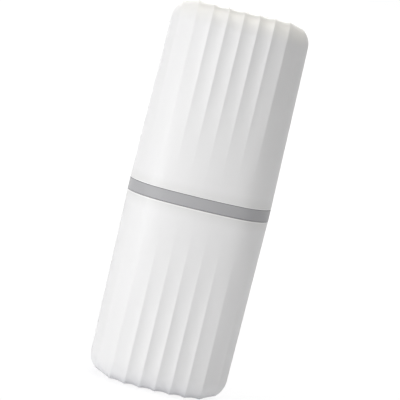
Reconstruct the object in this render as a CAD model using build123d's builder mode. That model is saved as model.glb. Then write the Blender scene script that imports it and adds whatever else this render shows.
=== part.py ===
from build123d import *
from math import acos, atan2, cos, degrees, hypot, pi, radians, sin, sqrt, tan
import os

# Toothbrush travel cup: two fluted cups of one oval section that plug onto a ring between them.
# Millimetres, +Z up. The origin is the middle of the face that the lower cup stands on.
# X runs across the width, and the front faces -Y.

# Oval section at the ring and at the mouths of the cups, of arcs that meet without a corner
WIDTH = 75.0
DEPTH = 60.0
FRONT_RADIUS = 75.0
SIDE_RADIUS = 32.0
CORNER_RADIUS = 20.0

# Heights of the three outer pieces
LOWER_LENGTH = 98.0
BAND_HEIGHT = 6.2
UPPER_LENGTH = 96.8

# Moulded cups
DRAFT = 0.75
SHOULDER_RADIUS = 11.5
WALL = 1.8
FLOOR = 2.0
LIP_RADIUS = 0.3
LEAD_IN = 0.4

# Flutes: shallow hollows side by side, front and back, that run over the closed end. Heights are from the mouth.
FLUTE_COUNT = 8
FLUTE_PITCH = 8.0
FLUTE_DEPTH = 0.7
FLUTE_START = 4.0
FLUTE_FULL = 77.0
RIDGE_SINK = 0.03
RIDGE_FLAT = 0.06

# Ring between the cups, with a wall that plugs into each of them
SPIGOT_LENGTH = 9.0
SPIGOT_WALL = 1.8
SPIGOT_GAP = 0.15
BAND_EDGE = 0.3
LEDGE_FROM_BAND = 0.5
LEDGE_WIDTH = 1.6
LEDGE_HEIGHT = 1.4

# Soft rings in the grooves of those walls
SEAL_HEIGHT = 2.4
SEAL_FROM_BAND = 4.2
SEAL_GAP = 0.04
SEAL_ROUNDING = 0.4
GROOVE_DEPTH = 0.9

# Lift-out rack on the ledge in the ring's bore
RACK_GAP = 0.25
RACK_THICKNESS = 1.6
RACK_RIM_WIDTH = 1.4
RACK_RIM_HEIGHT = 4.0
BRUSH_HOLE = 16.0
BRUSH_HOLE_X = -18.5
BRUSH_HOLE_SPACING = 21.0
TUBE_HOLE_WIDTH = 33.0
TUBE_HOLE_DEPTH = 38.0
TUBE_HOLE_X = 9.5
TUBE_HOLE_RADIUS = 12.0
HOLE_EDGE = 0.5

# How a flute's cutter is laid out: sections across one flute, points down its line, and room outside the cup
STATIONS = 4
WALL_STEPS = 10
SHOULDER_STEPS = 7
CUTTER_MARGIN = 3.0
CUTTER_LIFT = 0.05
RUN_IN = 8.0

HALF_WIDTH = WIDTH / 2
HALF_DEPTH = DEPTH / 2
DRAFT_SLOPE = tan(radians(DRAFT))
RING_BOTTOM = LOWER_LENGTH
RING_TOP = LOWER_LENGTH + BAND_HEIGHT
LEDGE_BOTTOM = RING_BOTTOM + LEDGE_FROM_BAND
LEDGE_TOP = LEDGE_BOTTOM + LEDGE_HEIGHT
SEAL_BOTTOM = SEAL_FROM_BAND - SEAL_HEIGHT / 2
SEAL_TOP = SEAL_FROM_BAND + SEAL_HEIGHT / 2
SPIGOT_INSET = WALL + SPIGOT_GAP
GROOVE_INSET = SPIGOT_INSET + GROOVE_DEPTH
BORE_INSET = SPIGOT_INSET + SPIGOT_WALL
RACK_INSET = BORE_INSET + RACK_GAP

# Centres of the oval's arcs: the front arc's lies on Y, the side arc's on X, and the corner arc's is where
# a circle of its radius touches both from inside
FRONT_CENTRE_Y = HALF_DEPTH - FRONT_RADIUS
SIDE_CENTRE_X = HALF_WIDTH - SIDE_RADIUS
FRONT_REACH = FRONT_RADIUS - CORNER_RADIUS
SIDE_REACH = SIDE_RADIUS - CORNER_RADIUS
CENTRES_APART = hypot(SIDE_CENTRE_X, FRONT_CENTRE_Y)
TOWARDS_X = -SIDE_CENTRE_X / CENTRES_APART
TOWARDS_Y = FRONT_CENTRE_Y / CENTRES_APART
ALONG = (SIDE_REACH**2 - FRONT_REACH**2 + CENTRES_APART**2) / (2 * CENTRES_APART)
ACROSS = sqrt(SIDE_REACH**2 - ALONG**2)
CORNER_X = SIDE_CENTRE_X + ALONG * TOWARDS_X - ACROSS * TOWARDS_Y
CORNER_Y = ALONG * TOWARDS_Y + ACROSS * TOWARDS_X
FRONT_ANGLE = degrees(atan2(CORNER_X, CORNER_Y - FRONT_CENTRE_Y))
SIDE_ANGLE = degrees(atan2(CORNER_Y, CORNER_X - SIDE_CENTRE_X))
CORNER_SWEEP = 90 - FRONT_ANGLE - SIDE_ANGLE


def oval(inset):
    """Face of the oval section, drawn in by inset all round: the arcs keep their centres."""
    front = FRONT_RADIUS - inset
    side = SIDE_RADIUS - inset
    corner = CORNER_RADIUS - inset
    with BuildSketch(mode=Mode.PRIVATE) as outline:
        with BuildLine():
            for way, turn in ((1, 0), (-1, 180)):
                CenterArc((way * SIDE_CENTRE_X, 0), side, turn - SIDE_ANGLE, 2 * SIDE_ANGLE)
                CenterArc((way * CORNER_X, way * CORNER_Y), corner, turn + SIDE_ANGLE, CORNER_SWEEP)
                CenterArc((0, way * FRONT_CENTRE_Y), front, turn + 90 - FRONT_ANGLE, 2 * FRONT_ANGLE)
                CenterArc((-way * CORNER_X, way * CORNER_Y), corner, turn + 90 + FRONT_ANGLE, CORNER_SWEEP)
        make_face()
    return outline.sketch


def half_depth(x, inset):
    """Half-depth at x of the oval drawn in by inset, and the share of its outward normal that lies along Y."""
    x = abs(x)
    if x <= (FRONT_RADIUS - inset) * sin(radians(FRONT_ANGLE)):
        centre_x, centre_y, radius = 0, FRONT_CENTRE_Y, FRONT_RADIUS - inset
    elif x <= CORNER_X + (CORNER_RADIUS - inset) * cos(radians(SIDE_ANGLE)):
        centre_x, centre_y, radius = CORNER_X, CORNER_Y, CORNER_RADIUS - inset
    else:
        centre_x, centre_y, radius = SIDE_CENTRE_X, 0, SIDE_RADIUS - inset
    rise = sqrt(max(radius**2 - (x - centre_x)**2, 0))
    return centre_y + rise, rise / radius


def limited(value):
    return min(max(value, 0), 1)


def flute_line(x, hollow, length):
    """Points (y, z) of a flute in the plane at x, from the front wall over the closed end to mid-depth.

    They follow the smooth cup, sunk square to its surface. Hollow is 0 on a ridge and 1 midway between two.
    Up the wall the depth eases from nothing to its whole, and the shoulder and the end keep it whole."""
    wall_top = length - SHOULDER_RADIUS
    shoulder_inset = DRAFT_SLOPE * wall_top
    bottom = FLUTE_START - CUTTER_MARGIN
    points = []
    for step in range(WALL_STEPS):
        z = bottom + (wall_top - bottom) * step / WALL_STEPS
        run_in = limited((z - bottom) / RUN_IN)
        share = limited((z - FLUTE_START) / (FLUTE_FULL - FLUTE_START))
        eased = share * share * (3 - 2 * share)
        sunk = FLUTE_DEPTH * hollow * eased + RIDGE_SINK * run_in - CUTTER_LIFT * (1 - run_in)
        y, along_y = half_depth(x, DRAFT_SLOPE * z)
        points.append((y - sunk / along_y, z))
    sunk = FLUTE_DEPTH * hollow + RIDGE_SINK
    room = HALF_WIDTH - shoulder_inset - abs(x)
    turn = pi / 2 if room >= SHOULDER_RADIUS else acos(1 - room / SHOULDER_RADIUS)
    for step in range(SHOULDER_STEPS + 1):
        angle = turn * sin(pi / 2 * step / SHOULDER_STEPS)
        y, along_y = half_depth(x, shoulder_inset + SHOULDER_RADIUS * (1 - cos(angle)))
        out, up = along_y * cos(angle), sin(angle)
        shift = sunk / (out**2 + up**2)
        points.append((y - shift * out, wall_top + SHOULDER_RADIUS * up - shift * up))
    flat, end_z = points[-1]
    if flat > CUTTER_MARGIN:
        points += [(flat / 2, end_z), (0, end_z)]
    return points


def flute_cutter(left, right, length):
    """Solid that hollows the flute between the ridges at left and right, front and back, lofted along X."""
    middle = (left + right) / 2
    reach = HALF_DEPTH + CUTTER_MARGIN
    above = length + CUTTER_MARGIN
    with BuildPart(mode=Mode.PRIVATE) as cutter:
        for station in range(STATIONS + 1):
            x = left + (right - left) * station / STATIONS
            hollow = 1 - ((x - middle) / (right - middle))**2
            half = flute_line(x, hollow, length)
            front = [(-y, z) for y, z in half]
            back = [(y, z) for y, z in reversed(half) if y > 0]
            bottom = half[0][1]
            with BuildSketch(Plane.YZ.offset(x)):
                with BuildLine():
                    Spline(front + back)
                    Polyline(back[-1], (reach, bottom), (reach, above), (-reach, above), (-reach, bottom), front[0])
                make_face()
        loft()
    return cutter.part


def cup_inside(length):
    """Space inside a cup that stands on its mouth: drafted as the wall is, and flared at the mouth."""
    with BuildPart(mode=Mode.PRIVATE) as space:
        with BuildSketch():
            add(oval(WALL))
        extrude(amount=length - FLOOR, taper=DRAFT)
        fillet(space.edges().group_by(Axis.Z)[-1], SHOULDER_RADIUS - WALL)
        for z, inset in ((0, WALL - LEAD_IN), (LEAD_IN, WALL)):
            with BuildSketch(Plane.XY.offset(z)):
                add(oval(inset))
        loft(ruled=True)
    return space.part


def fluted_cup(length):
    """A cup standing on its mouth: the mouth at z = 0, the closed end at z = length."""
    blank_length = length + RIDGE_FLAT
    with BuildPart(mode=Mode.PRIVATE) as cup:
        with BuildSketch():
            add(oval(0))
        extrude(amount=blank_length, taper=DRAFT)
        fillet(cup.edges().group_by(Axis.Z)[-1], SHOULDER_RADIUS)
        fillet(cup.edges().group_by(Axis.Z)[0], LIP_RADIUS)
        for flute in range(FLUTE_COUNT):
            left = (flute - FLUTE_COUNT / 2) * FLUTE_PITCH
            add(flute_cutter(left, left + FLUTE_PITCH, blank_length), mode=Mode.SUBTRACT)
        split(bisect_by=Plane.XY.offset(length), keep=Keep.BOTTOM)
        add(cup_inside(length), mode=Mode.SUBTRACT)
    return cup.part


def oval_tube(bottom, top, outside, inside):
    """Oval tube between two heights. Outside and inside are each a pair of insets, at the bottom and the top."""
    with BuildPart(mode=Mode.PRIVATE) as tube:
        for insets, mode in ((outside, Mode.ADD), (inside, Mode.SUBTRACT)):
            for z, inset in zip((bottom, top), insets):
                with BuildSketch(Plane.XY.offset(z)):
                    add(oval(inset))
            loft(ruled=True, mode=mode)
    return tube.part


def plug_wall():
    """Wall that plugs into a cup, rising from z = 0, with the groove for its soft ring."""
    end_inset = SPIGOT_INSET + DRAFT_SLOPE * SPIGOT_LENGTH
    with BuildPart(mode=Mode.PRIVATE) as wall:
        add(oval_tube(0, SPIGOT_LENGTH, (SPIGOT_INSET, end_inset), (BORE_INSET, BORE_INSET)))
        chamfer(wall.faces().sort_by(Axis.Z)[-1].outer_wire().edges(), LEAD_IN)
        add(oval_tube(SEAL_BOTTOM, SEAL_TOP, (0, 0), (GROOVE_INSET, GROOVE_INSET)), mode=Mode.SUBTRACT)
    return wall.part


def seal():
    """Soft ring that fills the groove and stands out from it to the wall of the cup."""
    outside = [WALL + SEAL_GAP + DRAFT_SLOPE * z for z in (SEAL_BOTTOM, SEAL_TOP)]
    with BuildPart(mode=Mode.PRIVATE) as ring:
        add(oval_tube(SEAL_BOTTOM, SEAL_TOP, outside, (GROOVE_INSET, GROOVE_INSET)))
        for end in (0, -1):
            fillet(ring.faces().sort_by(Axis.Z)[end].outer_wire().edges(), SEAL_ROUNDING)
    return ring.part


with BuildPart() as upper_cup:
    with Locations((0, 0, RING_TOP)):
        add(fluted_cup(UPPER_LENGTH))
upper_cup.part.label = "upper_cup"

with BuildPart() as lower_cup:
    with Locations((0, 0, RING_BOTTOM)):
        add(mirror(fluted_cup(LOWER_LENGTH), about=Plane.XY, mode=Mode.PRIVATE))
lower_cup.part.label = "lower_cup"

with BuildPart() as joint_ring:
    with BuildSketch(Plane.XY.offset(RING_BOTTOM)):
        add(oval(0))
        add(oval(BORE_INSET), mode=Mode.SUBTRACT)
    extrude(amount=BAND_HEIGHT)
    for end in (0, -1):
        fillet(joint_ring.faces().sort_by(Axis.Z)[end].outer_wire().edges(), BAND_EDGE)
    with Locations((0, 0, RING_TOP)):
        add(plug_wall())
    with Locations((0, 0, RING_BOTTOM)):
        add(mirror(plug_wall(), about=Plane.XY, mode=Mode.PRIVATE))
    with BuildSketch(Plane.XY.offset(LEDGE_BOTTOM)):
        add(oval(BORE_INSET))
        add(oval(BORE_INSET + LEDGE_WIDTH), mode=Mode.SUBTRACT)
    extrude(amount=LEDGE_HEIGHT)
joint_ring.part.label = "joint_ring"

with BuildPart() as upper_seal:
    with Locations((0, 0, RING_TOP)):
        add(seal())
upper_seal.part.label = "upper_seal"

with BuildPart() as lower_seal:
    with Locations((0, 0, RING_BOTTOM)):
        add(mirror(seal(), about=Plane.XY, mode=Mode.PRIVATE))
lower_seal.part.label = "lower_seal"

with BuildPart() as brush_rack:
    with BuildSketch(Plane.XY.offset(LEDGE_TOP)):
        add(oval(RACK_INSET))
    extrude(amount=RACK_RIM_HEIGHT)
    with BuildSketch(Plane.XY.offset(LEDGE_TOP + RACK_THICKNESS)):
        add(oval(RACK_INSET + RACK_RIM_WIDTH))
    extrude(amount=RACK_RIM_HEIGHT, mode=Mode.SUBTRACT)
    with BuildSketch(Plane.XY.offset(LEDGE_TOP)):
        with Locations((BRUSH_HOLE_X, 0)):
            with GridLocations(0, BRUSH_HOLE_SPACING, 1, 2):
                Circle(BRUSH_HOLE / 2)
        with Locations((TUBE_HOLE_X, 0)):
            RectangleRounded(TUBE_HOLE_WIDTH, TUBE_HOLE_DEPTH, TUBE_HOLE_RADIUS)
    extrude(amount=RACK_THICKNESS, mode=Mode.SUBTRACT)
    plate_top = brush_rack.faces().filter_by(Axis.Z).group_by(Axis.Z)[1][0]
    fillet([edge for opening in plate_top.inner_wires() for edge in opening.edges()], HOLE_EDGE)
brush_rack.part.label = "brush_rack"

os.makedirs("parts", exist_ok=True)
for piece in (lower_cup, upper_cup, joint_ring, lower_seal, upper_seal, brush_rack):
    export_step(piece.part, f"parts/{piece.part.label}.step")
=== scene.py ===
import math
import bpy
import numpy as np
from bpy.props import FloatProperty, IntProperty, PointerProperty, StringProperty
from mathutils import Matrix, Vector


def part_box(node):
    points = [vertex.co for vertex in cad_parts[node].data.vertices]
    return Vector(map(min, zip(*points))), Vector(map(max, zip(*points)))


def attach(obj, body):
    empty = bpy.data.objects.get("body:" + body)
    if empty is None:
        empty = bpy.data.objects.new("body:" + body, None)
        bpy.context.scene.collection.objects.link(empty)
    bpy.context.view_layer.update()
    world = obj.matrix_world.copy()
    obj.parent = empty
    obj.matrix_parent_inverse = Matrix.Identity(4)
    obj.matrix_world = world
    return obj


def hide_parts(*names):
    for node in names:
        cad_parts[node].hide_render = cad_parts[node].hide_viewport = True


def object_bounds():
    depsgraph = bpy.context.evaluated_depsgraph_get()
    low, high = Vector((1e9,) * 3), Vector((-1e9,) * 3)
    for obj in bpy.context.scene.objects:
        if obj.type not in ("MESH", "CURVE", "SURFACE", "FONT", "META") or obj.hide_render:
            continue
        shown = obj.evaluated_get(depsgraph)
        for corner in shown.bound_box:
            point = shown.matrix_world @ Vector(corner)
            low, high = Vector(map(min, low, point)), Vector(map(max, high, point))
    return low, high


bl_info = {
    "name": "Toothbrush Travel Cup",
    "version": (1, 0, 0),
    "blender": (4, 5, 0),
    "location": "3D View > Sidebar > Travel Cup",
    "description": "Two fluted oval cups on a grey ring, dressed in moulded plastic and set on a pale stage",
    "category": "Object",
}

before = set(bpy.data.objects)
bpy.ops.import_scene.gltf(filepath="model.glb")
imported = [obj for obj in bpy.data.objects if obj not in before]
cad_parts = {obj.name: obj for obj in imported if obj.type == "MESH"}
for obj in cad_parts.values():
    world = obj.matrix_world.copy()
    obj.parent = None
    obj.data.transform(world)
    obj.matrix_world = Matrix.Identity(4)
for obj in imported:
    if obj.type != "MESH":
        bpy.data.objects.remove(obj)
CAD_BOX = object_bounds()

MM = 0.001

# The cups stand mouth to mouth on the ring, and the box round each gives its mouth and its length
LOWER_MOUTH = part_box("lower_cup")[1].z
LOWER_LENGTH = LOWER_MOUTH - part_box("lower_cup")[0].z
UPPER_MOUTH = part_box("upper_cup")[0].z
UPPER_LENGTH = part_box("upper_cup")[1].z - UPPER_MOUTH
BAND_MIDDLE = (LOWER_MOUTH + UPPER_MOUTH) / 2

# Half sizes of the oval section where it is widest, at the cups' mouths
HALF_WIDTH = CAD_BOX[1][0]
HALF_DEPTH = CAD_BOX[1][1]

# Columns of half a cup's mesh for each flute and for each side, and the power that crowds those of a side a
# little towards the flutes
COLUMNS_PER_FLUTE = 18
COLUMNS_PER_SIDE = 22
SIDE_POWER = 0.8

# Rows of half a cup's mesh, in their order from the middle of its inside to the middle of its closed end
INSIDE_END_ROWS = 6
INNER_SHOULDER_ROWS = 14
INNER_WALL_ROWS = 11
LIP_ROWS = 6
OUTER_WALL_ROWS = 43
OUTER_SHOULDER_ROWS = 28
OUTSIDE_END_ROWS = 12

# Least divisors where the flutes are sunk. Smaller ones come only past the outermost ridges, where the
# flutes have died away
LEAST_NORMAL_ALONG = 0.3
LEAST_NORMAL_SQUARE = 0.1

# Points of a mesh that round to one step of 0.1 micrometre are merged, and edges that turn by more than this
# angle stay sharp
WELD_STEP = 0.1 * MM * MM
SHARP_ANGLE = math.radians(35)

# Index of refraction of each plastic
POLYPROPYLENE_INDEX = 1.49
SILICONE_INDEX = 1.41

# Flow marks: how many millimetres apart they are, the scale along the case that draws them out, and the
# share of a moulded colour that they darken it to
FLOW_SPACING = 30
FLOW_SCALE_ALONG = 0.35
FLOW_SHADE = 0.965

# Patches that handling polishes: how many millimetres apart they are, and how far they move the roughness
RUB_SPACING = 9
ROUGHNESS_SWING = 0.05

# Grain of the mould: how strongly its bump shows, and its height
GRAIN_STRENGTH = 0.1
GRAIN_HEIGHT = 0.05 * MM

# How far light spreads under the surface of a milky piece
LIGHT_SPREAD = 1.5 * MM

# Half-widths of the painted highlight on each cup's lip, where its rounding catches the light, of the
# painted groove shadow where the lower lip turns in under the ring and shows from above, and of the painted
# groove shade on the ring's edges
LIP_HIGHLIGHT = 0.3 * MM
LIP_TURN_SHADOW = 0.14 * MM
SEAM_SHADE_LINE = 0.5 * MM

# Height over which each cup's colour turns a touch darker towards its mouth
RIM_ZONE = 7.0 * MM

# Sockets of a Mix node that mixes two colours. Its others have the same names, so numbers tell them apart
MIX_SHARE = 0
MIX_FIRST = 6
MIX_SECOND = 7
MIX_RESULT = 2

# Near the case the floor is seen as this share of a glow and for the rest as matt, lit and shadowed. From
# one distance to the other it fades into the glow alone, which is a little over white
FLOOR_GLOW = 1.09
FLOOR_GLOW_SHARE = 0.8
FLOOR_FADE = (0.15, 0.8)

# Level of the world's even light, and the colours of the lamps: white ones, and a warmer one above the case
WORLD_LEVEL = 0.2
WHITE = (1.0, 1.0, 1.0)
WARM = (1.0, 0.97, 0.88)

# Width and height of the lamps, in metres: square panels, and strips for the front, the left and the right
PANEL = (1.0, 1.0)
FRONT_STRIP = (1.2, 0.12)
LEFT_STRIP = (0.5, 0.06)
RIGHT_STRIP = (0.3, 0.06)

# Width of the picture in pixels, of the sensor that the lens is given for in millimetres, and how many
# metres the camera sees, which is past the floor's edge
PICTURE_PIXELS = 400
SENSOR_WIDTH = 36.0
CLIP_END = 100.0


def length(name, millimetres, description):
    """A size that the panel shows in the scene's units."""
    return FloatProperty(name=name, description=description, default=millimetres * MM, min=0.0,
                         subtype="DISTANCE", unit="LENGTH")


def colour(name, value, description):
    """A surface colour, as the sRGB hex code that a colour chart gives."""
    return StringProperty(name=name, description=description, default=value, maxlen=7)


class CupSizes(bpy.types.PropertyGroup):
    """Section, wall and flutes of the moulded cups."""
    front_radius: length("Front radius", 75.0, "Radius of the oval's broad front and back arcs")
    side_radius: length("Side radius", 32.0, "Radius of the oval's two side arcs")
    corner_radius: length("Corner radius", 20.0, "Radius of the arcs between front and side")
    draft: FloatProperty(name="Draft", description="Lean of the wall that lets the cup leave its mould",
                         default=math.radians(0.75), subtype="ANGLE", unit="ROTATION")
    shoulder: length("Shoulder radius", 11.5, "Rounding from the wall to the closed end")
    wall: length("Wall", 1.8, "Thickness of the wall")
    closed_end: length("End thickness", 2.0, "Thickness of the closed end")
    lip: length("Lip radius", 0.3, "Rounding of the mouth's outer edge")
    lead_in: length("Lead-in", 0.4, "Bevel inside the mouth that guides the ring in")
    flutes: IntProperty(name="Flutes", description="Hollows side by side on each face", default=8, min=2)
    pitch: length("Pitch", 8.0, "Distance from ridge to ridge")
    depth: length("Flute depth", 0.7, "Depth of a flute midway between its ridges")
    crest: length("Crest softness", 0.12, "How far from its line a ridge starts to round over")
    fade_start: length("Fade start", 4.0, "Height above the mouth where the flutes begin")
    fade_end: length("Fade end", 77.0, "Height above the mouth where they have their whole depth")


class FinishColours(bpy.types.PropertyGroup):
    """Colours of the moulded plastics and of the stage."""
    cup: colour("Cups", "#E6E6E6", "White polypropylene of both cups")
    rim: colour("Cups' rims", "#DEDEDD", "Shade that the cups take on towards their mouths")
    # The lips' colour is a painted highlight, where the lips' rounding catches the light
    lip: colour("Cups' lips", "#F4F4F4", "Burnished lips of the cups, beside the seams")
    ring: colour("Ring", "#ABABAD", "Grey polypropylene of the ring between the cups")
    # The seams' colour is painted groove shade, on the ring's edges and where the lower lip turns in under
    # it
    seam: colour("Seams", "#7E7E81", "Shade of the seams on the ring's edges")
    seal: colour("Soft rings", "#C9CACB", "Milky silicone of the sealing rings")
    rack: colour("Rack", "#B9BABC", "Light grey polypropylene of the rack")
    floor: colour("Floor", "#F3F4FB", "Pale floor that the case stands on")


class StageSettings(bpy.types.PropertyGroup):
    """Camera and floor of the stage."""
    elevation: FloatProperty(name="Elevation", description="How far the camera looks down", subtype="ANGLE",
                             unit="ROTATION", default=math.radians(5.24))
    azimuth: FloatProperty(name="Azimuth", description="How far the camera stands round to the right",
                           subtype="ANGLE", unit="ROTATION", default=math.radians(-1.515))
    roll: FloatProperty(name="Roll", description="Turn of the camera that makes the case lean",
                        subtype="ANGLE", unit="ROTATION", default=math.radians(13.576))
    distance: length("Distance", 1427.5, "From the camera to the middle of the grey band")
    aim_across: length("Aim across", 0.52, "How far right of the band's middle the camera stands")
    aim_down: length("Aim down", 0.75, "How far below the band's middle the camera stands")
    focal_pixels: FloatProperty(name="Focal length", description="In pixels of the picture", default=2748.6)
    floor_reach: length("Floor reach", 30000.0, "From the middle of the floor to its edge")


# Materials

def linear(code):
    """The linear RGBA colour of an sRGB hex code.

    By the sRGB standard a dark channel is divided by 12.92. Any other has 0.055 added, is divided by 1.055
    and is taken to the power 2.4."""
    channels = []
    for start in (1, 3, 5):
        value = int(code[start:start + 2], 16) / 255
        channels.append(value / 12.92 if value <= 0.04045 else ((value + 0.055) / 1.055) ** 2.4)
    return (*channels, 1.0)


def add_node(tree, kind, sockets=None, **settings):
    """Adds a shader node with its settings. A socket takes a number, a colour or another node's output."""
    made = tree.nodes.new(kind)
    for name, value in settings.items():
        setattr(made, name, value)
    for name, value in (sockets or {}).items():
        if isinstance(value, bpy.types.NodeSocket):
            tree.links.new(value, made.inputs[name])
        else:
            made.inputs[name].default_value = value
    return made


def per_metre(millimetres):
    """Scale of a pattern on Object coordinates whose features are that far apart."""
    return 1.0 / (millimetres * MM)


def moulded(name, code, roughness, grain, subsurface, ior=POLYPROPYLENE_INDEX, lines=()):
    """Principled material of a moulded piece: a drifting shade, an uneven gloss and an eroded grain.

    The melt's flow marks are faint bands, drawn out along the case. The gloss varies from place to place, as
    handling polishes it. The grain of the mould's eroded steel is about 0.1 mm, and it is drawn at the grain
    given in millimetres, so that it shows. Each of the lines is a height, a half-width and the colour it
    shades to at that height."""
    material = bpy.data.materials.new(name)
    material.use_nodes = True
    tree = material.node_tree
    shader = tree.nodes["Principled BSDF"]
    place = add_node(tree, "ShaderNodeTexCoord").outputs["Object"]

    drawn_out = add_node(tree, "ShaderNodeMapping", {"Vector": place, "Scale": (1.0, 1.0, FLOW_SCALE_ALONG)})
    flow = add_node(tree, "ShaderNodeTexNoise",
                    {"Vector": drawn_out.outputs["Vector"], "Scale": per_metre(FLOW_SPACING), "Detail": 2.0})
    base = linear(code)
    darker = tuple(FLOW_SHADE * channel for channel in base[:3]) + (1.0,)
    mixed = add_node(tree, "ShaderNodeMix",
                     {MIX_SHARE: flow.outputs["Fac"], MIX_FIRST: darker, MIX_SECOND: base}, data_type="RGBA")
    height = add_node(tree, "ShaderNodeSeparateXYZ", {"Vector": place}).outputs["Z"]
    for line_height, half_width, line_code in lines:
        over = add_node(tree, "ShaderNodeMath", {0: height, 1: line_height}, operation="SUBTRACT")
        away = add_node(tree, "ShaderNodeMath", {0: over.outputs[0]}, operation="ABSOLUTE")
        near = add_node(tree, "ShaderNodeMapRange",
                        {"Value": away.outputs[0], "From Max": half_width, "To Min": 1.0, "To Max": 0.0},
                        interpolation_type="SMOOTHSTEP")
        mixed = add_node(tree, "ShaderNodeMix",
                         {MIX_SHARE: near.outputs["Result"], MIX_FIRST: mixed.outputs[MIX_RESULT],
                          MIX_SECOND: linear(line_code)}, data_type="RGBA")
    tree.links.new(mixed.outputs[MIX_RESULT], shader.inputs["Base Color"])

    rub = add_node(tree, "ShaderNodeTexNoise",
                   {"Vector": place, "Scale": per_metre(RUB_SPACING), "Detail": 3.0})
    gloss = add_node(tree, "ShaderNodeMapRange",
                     {"Value": rub.outputs["Fac"], "To Min": roughness - ROUGHNESS_SWING,
                      "To Max": roughness + ROUGHNESS_SWING})
    tree.links.new(gloss.outputs["Result"], shader.inputs["Roughness"])

    texture = add_node(tree, "ShaderNodeTexNoise",
                       {"Vector": place, "Scale": per_metre(grain), "Detail": 2.0})
    bump = add_node(tree, "ShaderNodeBump",
                    {"Height": texture.outputs["Fac"], "Strength": GRAIN_STRENGTH, "Distance": GRAIN_HEIGHT})
    tree.links.new(bump.outputs["Normal"], shader.inputs["Normal"])

    shader.inputs["IOR"].default_value = ior
    shader.inputs["Subsurface Weight"].default_value = subsurface
    shader.inputs["Subsurface Radius"].default_value = (1.0, 1.0, 1.0)
    shader.inputs["Subsurface Scale"].default_value = LIGHT_SPREAD
    return material


def dress(piece, material):
    """Gives a piece one material all over."""
    if len(piece.data.materials) == 0:
        piece.data.materials.append(material)
    for index in range(len(piece.data.materials)):
        piece.data.materials[index] = material


# The oval section

class Oval:
    """Oval of arcs that meet without a corner. Drawn in by an inset, the arcs keep their centres."""

    def __init__(self, sizes):
        """Works out the arcs' centres and the angles at which they meet.

        The front arc's centre lies on Y and the side arc's on X. The corner arc touches both from inside, so
        its centre is as far from each of theirs as their radii are larger: it is where two circles cross."""
        self.front, self.side, self.corner = sizes.front_radius, sizes.side_radius, sizes.corner_radius
        self.front_y = HALF_DEPTH - self.front
        self.side_x = HALF_WIDTH - self.side
        apart = math.hypot(self.side_x, self.front_y)
        towards_x, towards_y = -self.side_x / apart, self.front_y / apart
        front_reach, side_reach = self.front - self.corner, self.side - self.corner
        along = (side_reach**2 - front_reach**2 + apart**2) / (2 * apart)
        across = math.sqrt(side_reach**2 - along**2)
        self.corner_x = self.side_x + along * towards_x - across * towards_y
        self.corner_y = along * towards_y + across * towards_x
        self.front_angle = math.atan2(self.corner_x, self.corner_y - self.front_y)
        self.side_angle = math.atan2(self.corner_y, self.corner_x - self.side_x)

    def depth_at(self, x, inset):
        """Half-depth of the drawn-in oval at x, and the part of its outward normal that lies along Y.

        Each x falls on the front, corner or side arc, and a circle's height over its centre is the square
        root of its radius squared less the distance along X squared."""
        x = np.abs(x)
        on_front = x <= (self.front - inset) * math.sin(self.front_angle)
        on_corner = x <= self.corner_x + (self.corner - inset) * math.cos(self.side_angle)
        centre_x = np.where(on_front, 0.0, np.where(on_corner, self.corner_x, self.side_x))
        centre_y = np.where(on_front, self.front_y, np.where(on_corner, self.corner_y, 0.0))
        radius = np.where(on_front, self.front, np.where(on_corner, self.corner, self.side)) - inset
        rise = np.sqrt(np.maximum(radius**2 - (x - centre_x)**2, 0.0))
        return centre_y + rise, rise / radius

    def round_side(self, share, inset, edge):
        """Point (x, y) of the drawn-in oval at a share of the way from the side's middle round to x = edge.

        The way is measured along the side arc and then the corner arc, so equal shares are equally long. The
        third value is the part of the outward normal that lies along Y."""
        side, corner = self.side - inset, self.corner - inset
        whole_side = np.arccos(np.clip((edge - self.side_x) / side, -1, 1))
        side_turn = np.minimum(whole_side, self.side_angle)
        corner_turn = np.arccos(np.clip((edge - self.corner_x) / corner, -1, 1)) - self.side_angle
        corner_turn = np.where(whole_side > self.side_angle, np.maximum(corner_turn, 0.0), 0.0)
        way = share * (side * side_turn + corner * corner_turn)
        on_side = way <= side * side_turn
        angle = np.where(on_side, way / side, self.side_angle + (way - side * side_turn) / corner)
        x = np.where(on_side, self.side_x + side * np.cos(angle), self.corner_x + corner * np.cos(angle))
        y = np.where(on_side, side * np.sin(angle), self.corner_y + corner * np.sin(angle))
        return x, y, np.sin(angle)


# Fluted cups

def hollow_at(x, sizes):
    """Share of the flute's depth at x: a parabola from ridge to ridge, 1 midway between them.

    The distance to the nearest ridge is softened by the crest, as the square root of the sum of squares, so
    that crests are round. Past the outermost ridge the softened distance dies away to nothing."""
    edge = sizes.flutes * sizes.pitch / 2
    steps = x / sizes.pitch
    to_ridge = np.abs(steps - np.round(steps)) * sizes.pitch
    inside = edge - np.abs(x)
    inner = np.sqrt(to_ridge**2 + sizes.crest**2)
    outer = (inside + np.sqrt(inside**2 + sizes.crest**2)) / 2
    softened = np.where(inside < sizes.pitch / 2, outer, inner)
    return softened * (sizes.pitch - softened) / (sizes.pitch / 2)**2


def column_places(sizes):
    """Columns of half a cup from its left side to its right: the share of the way round the side, and x.

    Between the outermost ridges the share is 1. There the columns of a flute are halfway between evenly
    spaced ones and those of a cosine, which crowd at the ridges."""
    edge = sizes.flutes * sizes.pitch / 2
    even = np.arange(COLUMNS_PER_FLUTE) / COLUMNS_PER_FLUTE
    bunched = (even + (1 - np.cos(np.pi * even)) / 2) / 2
    left = -edge + (np.arange(sizes.flutes)[:, None] + bunched[None, :]).ravel() * sizes.pitch
    across = np.append(left, edge)
    round_the_side = (np.arange(COLUMNS_PER_SIDE) / COLUMNS_PER_SIDE)**SIDE_POWER
    shares = np.concatenate([round_the_side, np.ones(len(across)), round_the_side[::-1]])
    x = np.concatenate([np.full(COLUMNS_PER_SIDE, -edge), across, np.full(COLUMNS_PER_SIDE, edge)])
    return shares, x


def steps_after(start, end, count):
    """Evenly spaced values up to the end, as many as the count, without the start."""
    return np.linspace(start, end, count + 1)[1:]


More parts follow.
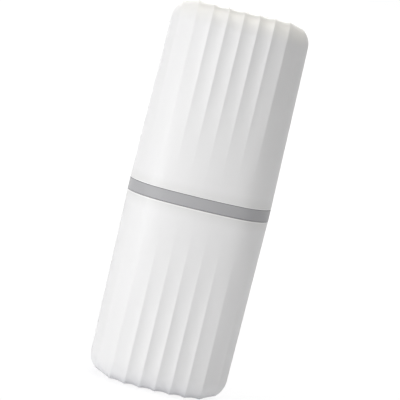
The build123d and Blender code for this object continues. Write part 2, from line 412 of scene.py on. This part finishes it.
def cup_half(sizes, oval, cup_length):
    """Rows of points of half a cup, from the middle of its inside to the middle of its closed end.

    A column is a plane of one x, or past the outermost ridges a share of the way round the side. A row is a
    height on a wall, a turn round a shoulder, or a share of the way over an end. On a shoulder of radius r
    at turn t the oval is drawn in by r(1 - cos t) and raised by r sin t, and a column turns only until its
    oval narrows to the column's x. The flutes sink the outside square to the surface, within the column's
    plane. Up the wall they deepen as 3 s squared less 2 s cubed, where s is the passed share of the fade."""
    edge = sizes.flutes * sizes.pitch / 2
    slope = math.tan(sizes.draft)
    shares, x_of = column_places(sizes)

    def section(inset):
        """x, y and the normal's part along Y for every column, for an inset that may differ by column."""
        side_x, side_y, side_along = oval.round_side(shares, inset, edge)
        flat_y, flat_along = oval.depth_at(x_of, inset)
        beside = shares < 1
        x = np.where(beside, side_x * np.sign(x_of), x_of)
        return x, np.where(beside, side_y, flat_y), np.where(beside, side_along, flat_along)

    def wall_row(inset, z, sunk_share):
        """Points at one height, sunk along Y by a flute's depth over the normal's part along Y."""
        x, y, along = section(np.full(len(x_of), inset))
        sunk = sizes.depth * hollow_at(x, sizes) * sunk_share
        return np.stack([x, y - sunk / np.maximum(along, LEAST_NORMAL_ALONG), np.full(len(x), z)], 1)

    def shoulder_row(turn_share, inset, z, radius, sunk_share):
        """Points at one share of each column's turn, sunk along Y and Z by the normal's parts along them.

        The shift is a flute's depth over the sum of the two parts' squares."""
        room = HALF_WIDTH - inset - np.minimum(np.abs(x_of), HALF_WIDTH - inset)
        whole = np.where(room >= radius, np.pi / 2, np.arccos(np.clip(1 - room / radius, -1, 1)))
        turn = whole * math.sin(math.pi / 2 * turn_share)
        x, y, along = section(inset + radius * (1 - np.cos(turn)))
        out, up = along * np.cos(turn), np.sin(turn)
        sunk = sizes.depth * hollow_at(x, sizes) * sunk_share
        shift = sunk / np.maximum(out**2 + up**2, LEAST_NORMAL_SQUARE)
        return np.stack([x, np.maximum(y - shift * out, 0.0), z + radius * up - shift * up], 1)

    inner_radius = sizes.shoulder - sizes.wall
    inner_top = cup_length - sizes.closed_end - inner_radius
    inner_inset = sizes.wall + slope * inner_top
    outer_top = cup_length - sizes.shoulder
    rows = []
    inside_edge = shoulder_row(1.0, inner_inset, inner_top, inner_radius, 0.0)
    for share in np.linspace(0, 1, INSIDE_END_ROWS, endpoint=False):
        rows.append(inside_edge * [1, share, 1])
    for share in np.linspace(1, 0, INNER_SHOULDER_ROWS):
        rows.append(shoulder_row(share, inner_inset, inner_top, inner_radius, 0.0))
    for z in steps_after(inner_top, sizes.lead_in, INNER_WALL_ROWS):
        rows.append(wall_row(sizes.wall + slope * z, z, 0.0))
    rows.append(wall_row(sizes.wall - sizes.lead_in, 0.0, 0.0))
    for angle in np.linspace(0, math.pi / 2, LIP_ROWS):
        rows.append(wall_row(sizes.lip * (1 - math.sin(angle)), sizes.lip * (1 - math.cos(angle)), 0.0))
    for z in steps_after(sizes.lip, outer_top, OUTER_WALL_ROWS):
        share = min(max((z - sizes.fade_start) / (sizes.fade_end - sizes.fade_start), 0.0), 1.0)
        rows.append(wall_row(slope * z, z, share**2 * (3 - 2 * share)))
    for share in steps_after(0, 1, OUTER_SHOULDER_ROWS):
        rows.append(shoulder_row(share, slope * outer_top, outer_top, sizes.shoulder, 1.0))
    outside_edge = rows[-1]
    for share in steps_after(1, 0, OUTSIDE_END_ROWS):
        rows.append(outside_edge * [1, share, 1])
    return np.array(rows)


def cup_mesh(name, sizes, cup_length, mouth, way):
    """Closed mesh of a whole cup: the half and its mirror image, welded along the sides and over the ends.

    Way is 1 for a cup that rises from its mouth and -1 for one that hangs from it."""
    half = cup_half(sizes, Oval(sizes), cup_length)
    rows, columns = half.shape[:2]
    front, back = half * [1, -1, 1], half
    points = np.concatenate([front.reshape(-1, 3), back.reshape(-1, 3)])
    points[:, 2] = mouth + way * points[:, 2]
    corner = (np.arange(rows - 1)[:, None] * columns + np.arange(columns - 1)).ravel()
    quads = np.stack([corner, corner + 1, corner + columns + 1, corner + columns], 1)
    back_quads = quads[:, ::-1] + rows * columns
    faces = np.concatenate([quads, back_quads])
    if way < 0:
        faces = faces[:, ::-1]
    faces, points = weld(faces, points)
    return mesh_piece(name, points, faces)


def weld(faces, points):
    """Merges points that round to the same step, and turns quads that lost a corner into triangles."""
    keys = np.round(points / WELD_STEP).astype(np.int64)
    _, first, same = np.unique(keys, axis=0, return_index=True, return_inverse=True)
    merged = []
    for face in same.reshape(-1)[faces].tolist():
        kept = [corner for index, corner in enumerate(face) if corner != face[index - 1]]
        if len(set(kept)) > 2:
            merged.append(kept)
    return merged, points[first]


def mesh_piece(name, points, faces):
    """Object at the origin that holds the mesh, smooth but for its sharp edges."""
    mesh = bpy.data.meshes.new(name)
    mesh.from_pydata(points.tolist(), [], faces)
    mesh.validate()
    mesh.shade_smooth()
    mesh.set_sharp_from_angle(angle=SHARP_ANGLE)
    piece = bpy.data.objects.new(name, mesh)
    bpy.context.scene.collection.objects.link(piece)
    return piece


class TRAVELCUP_OT_cups(bpy.types.Operator):
    """Model both fluted cups in white moulded polypropylene"""
    bl_idname = "travelcup.cups"
    bl_label = "Fluted Cups"

    def execute(self, context):
        sizes, colours = context.scene.travelcup_sizes, context.scene.travelcup_colours
        # Polypropylene from an eroded mould: a dull milky white without a highlight. Beside the joint a thin
        # lighter line is a painted highlight, where the lip's rounding catches the light. On the lower cup a
        # thin darker line between it and the mouth is painted groove shadow, where the lip turns in under
        # the ring and shows from above. Towards each mouth the white turns a touch darker
        lips = [(LOWER_MOUTH, RIM_ZONE, colours.rim), (UPPER_MOUTH, RIM_ZONE, colours.rim),
                # Painted groove shadow where the lower lip turns in under the ring and shows from above
                (LOWER_MOUTH - LIP_TURN_SHADOW, LIP_TURN_SHADOW, colours.seam),
                (LOWER_MOUTH - 2 * LIP_TURN_SHADOW - LIP_HIGHLIGHT, LIP_HIGHLIGHT, colours.lip),
                (UPPER_MOUTH + LIP_HIGHLIGHT, LIP_HIGHLIGHT, colours.lip)]
        white = moulded("moulded_polypropylene_white", colours.cup, roughness=0.46, grain=0.5,
                        subsurface=0.12, lines=lips)
        for name, cup_length, mouth, way in (("lower_cup", LOWER_LENGTH, LOWER_MOUTH, -1),
                                             ("upper_cup", UPPER_LENGTH, UPPER_MOUTH, 1)):
            cup = cup_mesh(f"{name}_shell", sizes, cup_length, mouth, way)
            dress(cup, white)
            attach(cup, name)
            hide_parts(name)
        return {"FINISHED"}


class TRAVELCUP_OT_ring(bpy.types.Operator):
    """Finish the ring between the cups in grey moulded polypropylene"""
    bl_idname = "travelcup.ring"
    bl_label = "Joint Ring"

    def execute(self, context):
        colours = context.scene.travelcup_colours
        # The same process in grey, a touch smoother: an even satin, with half of the usual reflection.
        # Painted groove shade lies on its two edges, where the grooves are finer than the picture can show
        seams = [(LOWER_MOUTH, SEAM_SHADE_LINE, colours.seam), (UPPER_MOUTH, SEAM_SHADE_LINE, colours.seam)]
        grey = moulded("moulded_polypropylene_grey", colours.ring, roughness=0.42, grain=0.5,
                       subsurface=0.0, lines=seams)
        shader = grey.node_tree.nodes["Principled BSDF"]
        shader.inputs["Specular IOR Level"].default_value = 0.25
        dress(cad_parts["joint_ring"], grey)
        return {"FINISHED"}


class TRAVELCUP_OT_seals(bpy.types.Operator):
    """Finish the two sealing rings in milky silicone"""
    bl_idname = "travelcup.seals"
    bl_label = "Soft Rings"

    def execute(self, context):
        # Compression-moulded silicone: milky, as light spreads inside it, with a soft bloom at its edges
        silicone = moulded("moulded_silicone_milky", context.scene.travelcup_colours.seal, roughness=0.38,
                           grain=0.8, subsurface=0.35, ior=SILICONE_INDEX)
        shader = silicone.node_tree.nodes["Principled BSDF"]
        shader.inputs["Sheen Weight"].default_value = 0.25
        shader.inputs["Sheen Roughness"].default_value = 0.4
        for name in ("lower_seal", "upper_seal"):
            dress(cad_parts[name], silicone)
        return {"FINISHED"}


class TRAVELCUP_OT_rack(bpy.types.Operator):
    """Finish the lift-out rack in light grey moulded polypropylene"""
    bl_idname = "travelcup.rack"
    bl_label = "Brush Rack"

    def execute(self, context):
        # Polypropylene from a coarser mould: a dull light grey that shows no water marks
        pale = moulded("moulded_polypropylene_light_grey", context.scene.travelcup_colours.rack,
                       roughness=0.48, grain=0.8, subsurface=0.0)
        dress(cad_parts["brush_rack"], pale)
        return {"FINISHED"}


# Stage

def seen_directly(tree):
    """Output that is 1 for camera, glossy and transmission rays and 0 for those that carry diffuse light."""
    rays = add_node(tree, "ShaderNodeLightPath")
    seen = add_node(tree, "ShaderNodeMath",
                    {0: rays.outputs["Is Camera Ray"], 1: rays.outputs["Is Glossy Ray"]},
                    operation="MAXIMUM")
    seen = add_node(tree, "ShaderNodeMath", {0: seen.outputs[0], 1: rays.outputs["Is Transmission Ray"]},
                    operation="MAXIMUM")
    return seen.outputs[0]


def white_floor(code):
    """Matt floor that glows white to the camera and in reflections, and keeps some of the case's shadow."""
    material = bpy.data.materials.new("stage_floor_pale")
    material.use_nodes = True
    tree = material.node_tree
    tree.nodes.clear()
    matt = add_node(tree, "ShaderNodeBsdfDiffuse", {"Color": linear(code)})
    glow = add_node(tree, "ShaderNodeEmission", {"Color": (*WHITE, 1.0), "Strength": FLOOR_GLOW})
    place = add_node(tree, "ShaderNodeTexCoord").outputs["Object"]
    far = add_node(tree, "ShaderNodeVectorMath", {0: place}, operation="LENGTH").outputs["Value"]
    fade = add_node(tree, "ShaderNodeMapRange",
                    {"Value": far, "From Min": FLOOR_FADE[0], "From Max": FLOOR_FADE[1],
                     "To Min": FLOOR_GLOW_SHARE}, interpolation_type="SMOOTHSTEP")
    share = add_node(tree, "ShaderNodeMath", {0: seen_directly(tree), 1: fade.outputs["Result"]},
                     operation="MULTIPLY")
    blend = add_node(tree, "ShaderNodeMixShader",
                     {0: share.outputs[0], 1: matt.outputs[0], 2: glow.outputs[0]})
    add_node(tree, "ShaderNodeOutputMaterial", {"Surface": blend.outputs[0]})
    return material


def white_world(level):
    """World that lights the case evenly at a level, and shows white to the camera and in reflections."""
    world = bpy.data.worlds.new("stage_world")
    world.use_nodes = True
    tree = world.node_tree
    tree.nodes.clear()
    light = add_node(tree, "ShaderNodeBackground", {"Color": (*WHITE, 1.0), "Strength": level})
    glow = add_node(tree, "ShaderNodeBackground", {"Color": (*WHITE, 1.0), "Strength": 1.0})
    blend = add_node(tree, "ShaderNodeMixShader",
                     {0: seen_directly(tree), 1: light.outputs[0], 2: glow.outputs[0]})
    add_node(tree, "ShaderNodeOutputWorld", {"Surface": blend.outputs[0]})
    return world


def direction(azimuth, elevation):
    """Unit vector from the case towards an azimuth and elevation in radians.

    Azimuth is 0 in front, at -Y, and grows to the right. Elevation is 0 at the level and grows upwards."""
    return Vector((math.sin(azimuth) * math.cos(elevation), -math.cos(azimuth) * math.cos(elevation),
                   math.sin(elevation)))


def soft_lamp(name, azimuth, elevation, distance, size, power, tint=WHITE):
    """Lamp aimed at the middle of the band, from an azimuth and elevation in degrees.

    Size is its width and height, and power is in watts."""
    data = bpy.data.lights.new(name, "AREA")
    data.shape = "RECTANGLE"
    data.size, data.size_y = size
    data.energy, data.color = power, tint
    lamp = bpy.data.objects.new(name, data)
    away = direction(math.radians(azimuth), math.radians(elevation))
    lamp.location = Vector((0, 0, BAND_MIDDLE)) + away * distance
    lamp.rotation_euler = away.to_track_quat("Z", "Y").to_euler()
    bpy.context.scene.collection.objects.link(lamp)


def place_camera(stage):
    """Camera at the photograph's angle: level towards the band's middle, then turned by the roll."""
    away = direction(stage.azimuth, stage.elevation)
    right = (-away).cross(Vector((0, 0, 1))).normalized()
    up = right.cross(-away)
    place = Vector((0, 0, BAND_MIDDLE)) + away * stage.distance
    place += right * stage.aim_across - up * stage.aim_down
    turned_right = right * math.cos(stage.roll) + up * math.sin(stage.roll)
    turned_up = up * math.cos(stage.roll) - right * math.sin(stage.roll)
    data = bpy.data.cameras.new("stage_camera")
    data.sensor_width = SENSOR_WIDTH
    data.lens = stage.focal_pixels / PICTURE_PIXELS * SENSOR_WIDTH
    data.clip_end = CLIP_END
    camera = bpy.data.objects.new("stage_camera", data)
    turn = Matrix((turned_right, turned_up, away)).transposed().to_4x4()
    camera.matrix_world = Matrix.Translation(place) @ turn
    bpy.context.scene.collection.objects.link(camera)
    bpy.context.scene.camera = camera


class TRAVELCUP_OT_stage(bpy.types.Operator):
    """Set the pale floor, the soft lamps and the camera"""
    bl_idname = "travelcup.stage"
    bl_label = "Stage"

    def execute(self, context):
        scene, stage = context.scene, context.scene.travelcup_stage
        reach = stage.floor_reach
        corners = np.array([(-reach, -reach, 0.0), (reach, -reach, 0.0),
                            (reach, reach, 0.0), (-reach, reach, 0.0)])
        floor = mesh_piece("stage_floor", corners, [(0, 1, 2, 3)])
        dress(floor, white_floor(scene.travelcup_colours.floor))
        scene.world = white_world(WORLD_LEVEL)
        soft_lamp("panel_top", azimuth=0, elevation=88, distance=1.6, size=PANEL, power=14.8, tint=WARM)
        soft_lamp("panel_left", azimuth=-60, elevation=5, distance=1.6, size=PANEL, power=12.9)
        soft_lamp("panel_back", azimuth=-175, elevation=8, distance=1.6, size=PANEL, power=6.5)
        soft_lamp("strip_front", azimuth=-25, elevation=-2, distance=1.2, size=FRONT_STRIP, power=2.2)
        soft_lamp("strip_left", azimuth=-40, elevation=-8, distance=0.5, size=LEFT_STRIP, power=0.39)
        soft_lamp("strip_right", azimuth=60, elevation=-15, distance=0.25, size=RIGHT_STRIP, power=0.057)
        place_camera(stage)
        scene.view_settings.view_transform = "Standard"
        return {"FINISHED"}


class TRAVELCUP_PT_panel(bpy.types.Panel):
    """Sidebar panel that lists the case's sizes, colours and pieces"""
    bl_idname = "TRAVELCUP_PT_panel"
    bl_label = "Toothbrush Travel Cup"
    bl_space_type = "VIEW_3D"
    bl_region_type = "UI"
    bl_category = "Travel Cup"

    def draw(self, context):
        layout = self.layout
        for group in (context.scene.travelcup_sizes, context.scene.travelcup_colours,
                      context.scene.travelcup_stage):
            for name in group.__annotations__:
                layout.prop(group, name)
        for operator in OPERATORS:
            layout.operator(operator.bl_idname)


GROUPS = {"travelcup_sizes": CupSizes, "travelcup_colours": FinishColours, "travelcup_stage": StageSettings}
OPERATORS = (TRAVELCUP_OT_stage, TRAVELCUP_OT_cups, TRAVELCUP_OT_ring, TRAVELCUP_OT_seals,
             TRAVELCUP_OT_rack)


def register():
    """Adds the groups of settings to the scene, and the operators and the panel to Blender."""
    for name, group in GROUPS.items():
        bpy.utils.register_class(group)
        setattr(bpy.types.Scene, name, PointerProperty(type=group))
    for operator in OPERATORS:
        bpy.utils.register_class(operator)
    bpy.utils.register_class(TRAVELCUP_PT_panel)


def unregister():
    """Takes away what register adds."""
    bpy.utils.unregister_class(TRAVELCUP_PT_panel)
    for operator in reversed(OPERATORS):
        bpy.utils.unregister_class(operator)
    for name, group in GROUPS.items():
        delattr(bpy.types.Scene, name)
        bpy.utils.unregister_class(group)


def main():
    """Sets the stage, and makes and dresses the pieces."""
    register()
    bpy.ops.travelcup.stage()
    bpy.ops.travelcup.cups()
    bpy.ops.travelcup.ring()
    bpy.ops.travelcup.seals()
    bpy.ops.travelcup.rack()


if __name__ == "__main__":
    main()
